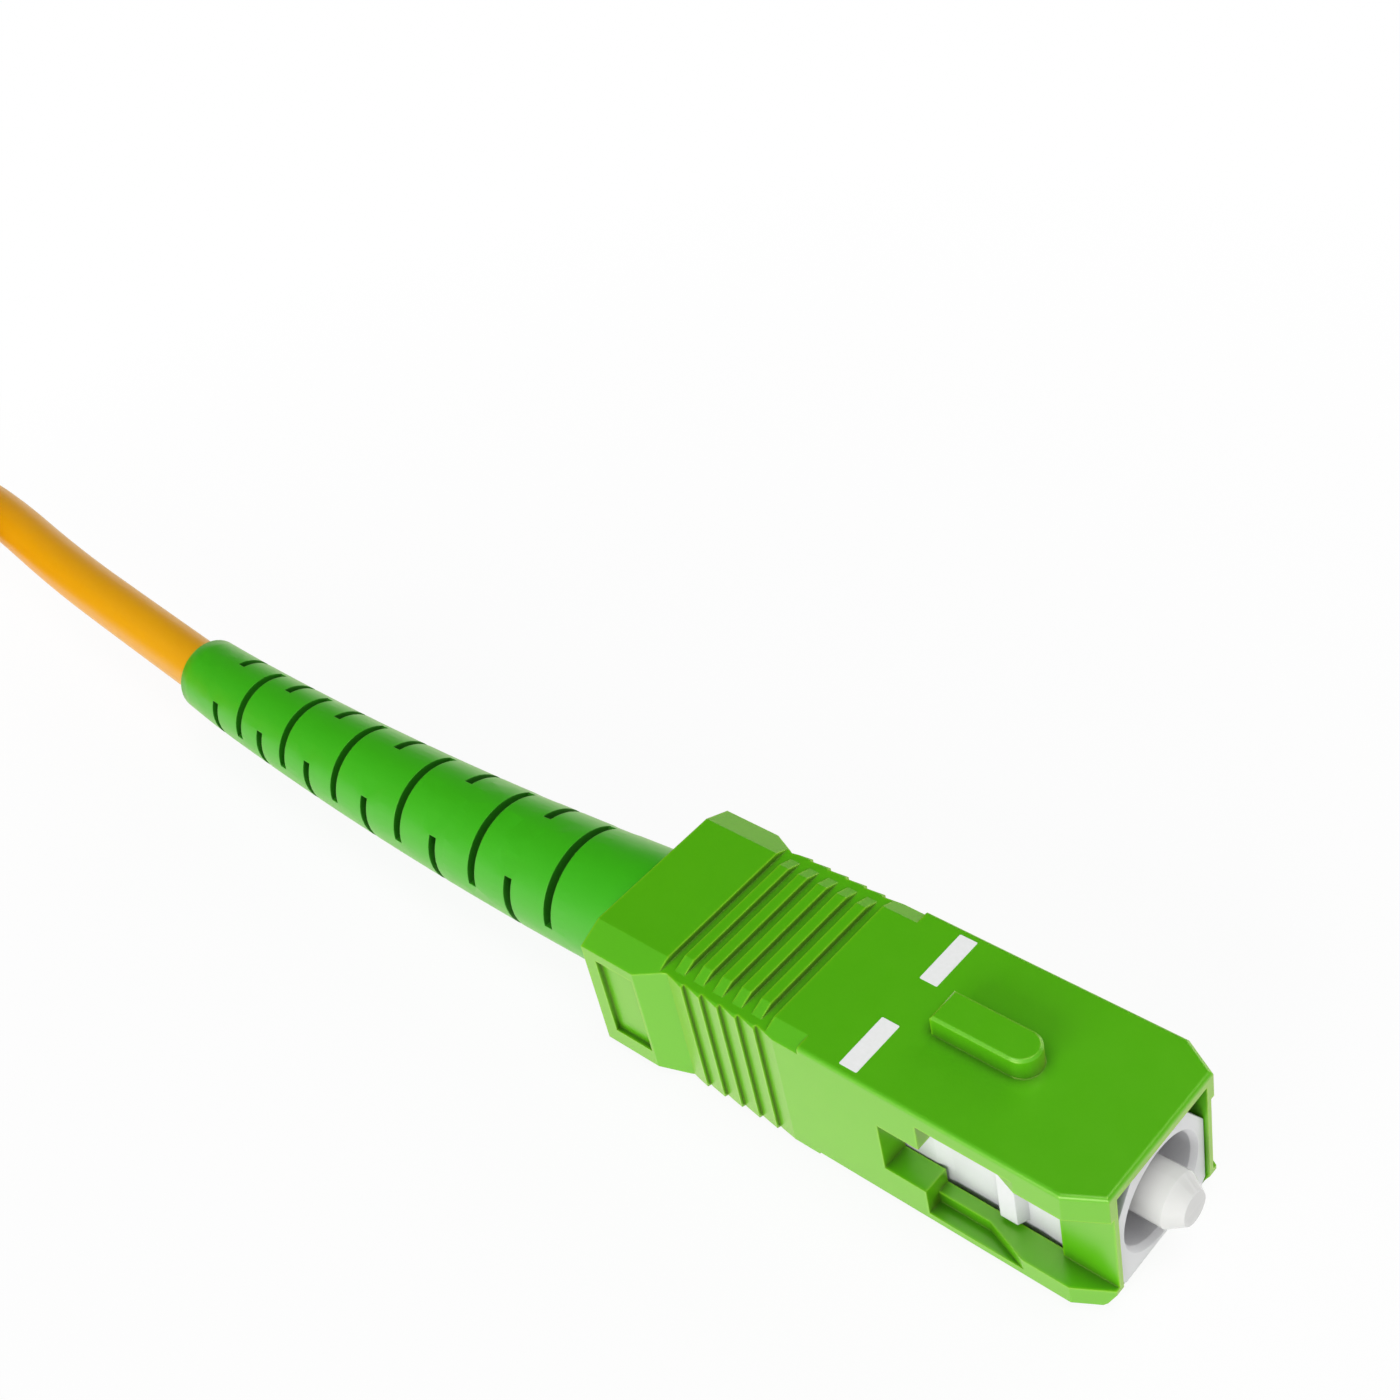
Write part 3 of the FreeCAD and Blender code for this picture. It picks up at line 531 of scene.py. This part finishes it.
def bowed(name, node, slot):
    """A node's own shape, cut across its length, moved aside slice by slice and trimmed."""
    work = bmesh.new()
    work.from_mesh(nodes[node].data)
    bmesh.ops.remove_doubles(work, verts=work.verts, dist=WELD * MM)
    for step in range(SLICES):
        x = BOW_FRONT + (BOW_REAR - BOW_FRONT) * step / SLICES
        everything = work.verts[:] + work.edges[:] + work.faces[:]
        bmesh.ops.bisect_plane(
            work, geom=everything, dist=ON_CUT * MM, plane_co=at(x, 0, 0), plane_no=(1, 0, 0)
        )
    for vertex in work.verts:
        x = (vertex.co.x - FRONT) / MM
        vertex.co += bow(x) * MM
        if x < TRIM_FROM:
            vertex.co.x += TRIM * MM * (x - TRIM_FROM) / (BOW_REAR - TRIM_FROM)
    for edge in work.edges:
        edge.smooth = edge.calc_face_angle(0.0) < SHARP
    for face in work.faces:
        face.smooth = True
    mesh = bpy.data.meshes.new(name)
    work.to_mesh(mesh)
    work.free()
    # The node's stored normals belong to the straight shape.
    if "custom_normal" in mesh.attributes:
        mesh.attributes.remove(mesh.attributes["custom_normal"])
    piece = new_object(name, mesh, MATERIALS[slot])
    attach(piece, "plug")
    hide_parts(node)


bowed("boot_visual", "boot", "boot_green")
bowed("jacket_in_boot", "cable_jacket", "jacket_yellow")
bowed("buffer_in_boot", "tight_buffer", "buffer_white")

# ---------------------------------------------------------------- spring


def spring_coils():
    """A copy of the spring, on a mesh of its own, that moves with the plug."""
    coils = new_object("spring_coils", nodes["spring"].data.copy())
    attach(coils, "plug")
    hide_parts("spring")
    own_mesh(coils)


spring_coils()

# ---------------------------------------------------------------- printed marks

# Two bars on the top face, one on each side of the key.
MARK_BACK, MARK_FRONT = -12.43, -11.52
MARK_NEAR, MARK_FAR = 1.25, 4.12
MARK_CORNER, MARK_THICKNESS = 0.06, 0.012
MARK_CORNERS = (
    (MARK_FRONT, MARK_FAR, 0),
    (MARK_BACK, MARK_FAR, 90),
    (MARK_BACK, MARK_NEAR, 180),
    (MARK_FRONT, MARK_NEAR, 270),
)
CORNER_STEPS = 3
MARK_INK = mark_white()


def mark(name, side):
    """One printed bar on the top face: a thin layer with softened corners."""
    outline = []
    for x, y, start in MARK_CORNERS:
        inward_x = -1 if x == MARK_FRONT else 1
        inward_y = -1 if y == MARK_FAR else 1
        for step in range(CORNER_STEPS + 1):
            angle = math.radians(start + 90 * step / CORNER_STEPS)
            outline.append(
                (
                    x + MARK_CORNER * (inward_x + math.cos(angle)),
                    side * (y + MARK_CORNER * (inward_y + math.sin(angle))),
                )
            )
    work = bmesh.new()
    # The housing is as high above the axis as the axis is above the floor.
    top_face = AXIS / MM
    rings = []
    for z in (top_face, top_face + MARK_THICKNESS):
        rings.append([work.verts.new(at(x, y, z)) for x, y in outline])
    work.faces.new(rings[1])
    count = len(outline)
    for i in range(count):
        j = (i + 1) % count
        work.faces.new((rings[0][i], rings[0][j], rings[1][j], rings[1][i]))
    bmesh.ops.recalc_face_normals(work, faces=work.faces)
    mesh = bpy.data.meshes.new(name)
    work.to_mesh(mesh)
    work.free()
    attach(new_object(name, mesh, MARK_INK), "grip")


mark("mark_near", -1)
mark("mark_far", 1)

# ---------------------------------------------------------------- stage and light

FLOOR_REACH = 1.5
# The floor near the object shows its shadow: this share of plain white there, and all of it
# from the second distance on, in metres.
SHADOW_NEAR, SHADOW_FAR = 0.03, 0.08
NEAR_WHITE = 0.92

# Lamps: place and size in metres, power in watts.
SOFTBOXES = {
    "key_light": ((0.06, -0.5, 0.17), (0.4, 0.25), 1.9),
    "top_light": ((0.16, 0.04, 0.5), (0.3, 0.3), 1.2),
    "back_light": ((0.1, 0.5, 0.25), (0.4, 0.3), 0.9),
}
LAMPS_AIM = Vector((0, 0, 0.004))

# Studio walls: the way to their brightest side, how far they face that way where they are
# weakest and strongest, and those strengths.
BRIGHT_WAY = Vector((0.45, -0.85, 0.25)).normalized()
FACING_AWAY, FACING = -0.3, 0.9
WEAK, STRONG = 0.03, 0.5
# A brighter band runs round them low down and fades out between these heights.
BAND = 0.6
BAND_LOW, BAND_HIGH = 0.1, 0.3


def floor():
    """A pale floor that stays white to the camera and keeps the object's shadow."""
    mesh = bpy.data.meshes.new("floor")
    ways = ((-1, -1), (1, -1), (1, 1), (-1, 1))
    corners = [(x * FLOOR_REACH, y * FLOOR_REACH, 0) for x, y in ways]
    mesh.from_pydata(corners, [], [(0, 1, 2, 3)])
    material = bpy.data.materials.new("floor_white")
    material.use_nodes = True
    tree = material.node_tree
    tree.nodes.clear()
    diffuse = add(tree, "BsdfDiffuse", Color=(0.86, 0.86, 0.86, 1))
    glow = add(tree, "Emission", Color=(1, 1, 1, 1), Strength=1.0)
    path = add(tree, "LightPath")
    seen = larger(tree, path.outputs["Is Camera Ray"], path.outputs["Is Glossy Ray"])
    coordinates = add(tree, "TexCoord")
    away = add(tree, "VectorMath", operation="LENGTH")
    tree.links.new(coordinates.outputs["Object"], away.inputs[0])
    white = ramp(tree, away.outputs["Value"], SHADOW_NEAR, SHADOW_FAR, NEAR_WHITE, 1.0)
    share = add(tree, "Math", operation="MULTIPLY")
    tree.links.new(seen, share.inputs[0])
    tree.links.new(white, share.inputs[1])
    mix = add(tree, "MixShader")
    tree.links.new(share.outputs["Value"], mix.inputs["Fac"])
    tree.links.new(diffuse.outputs["BSDF"], mix.inputs[1])
    tree.links.new(glow.outputs["Emission"], mix.inputs[2])
    output = add(tree, "OutputMaterial")
    tree.links.new(mix.outputs["Shader"], output.inputs["Surface"])
    new_object("floor", mesh, material)


def softbox(name, where, size, power):
    """A flat lamp that faces the object."""
    lamp = bpy.data.lights.new(name, "AREA")
    lamp.shape = "RECTANGLE"
    lamp.size, lamp.size_y = size
    lamp.energy = power
    holder = new_object(name, lamp)
    holder.location = where
    holder.rotation_mode = "QUATERNION"
    holder.rotation_quaternion = (LAMPS_AIM - Vector(where)).to_track_quat("-Z", "Y")


def world():
    """Studio walls, brighter on the near side and low down, and white to the camera."""
    studio = bpy.data.worlds.new("studio")
    studio.use_nodes = True
    tree = studio.node_tree
    background = tree.nodes["Background"]
    background.inputs["Color"].default_value = (1, 1, 1, 1)
    coordinates = add(tree, "TexCoord")
    facing = add(tree, "VectorMath", operation="DOT_PRODUCT")
    facing.inputs[1].default_value = BRIGHT_WAY
    tree.links.new(coordinates.outputs["Generated"], facing.inputs[0])
    sides = ramp(tree, facing.outputs["Value"], FACING_AWAY, FACING, WEAK, STRONG)
    height = add(tree, "SeparateXYZ")
    tree.links.new(coordinates.outputs["Generated"], height.inputs["Vector"])
    band = ramp(tree, height.outputs["Z"], BAND_LOW, BAND_HIGH, BAND, 0.0)
    path = add(tree, "LightPath")
    strength = larger(tree, larger(tree, sides, band), path.outputs["Is Camera Ray"])
    tree.links.new(strength, background.inputs["Strength"])
    bpy.context.scene.world = studio


floor()
world()
for name, (where, size, power) in SOFTBOXES.items():
    softbox(name, where, size, power)
bpy.context.scene.view_settings.view_transform = "Standard"
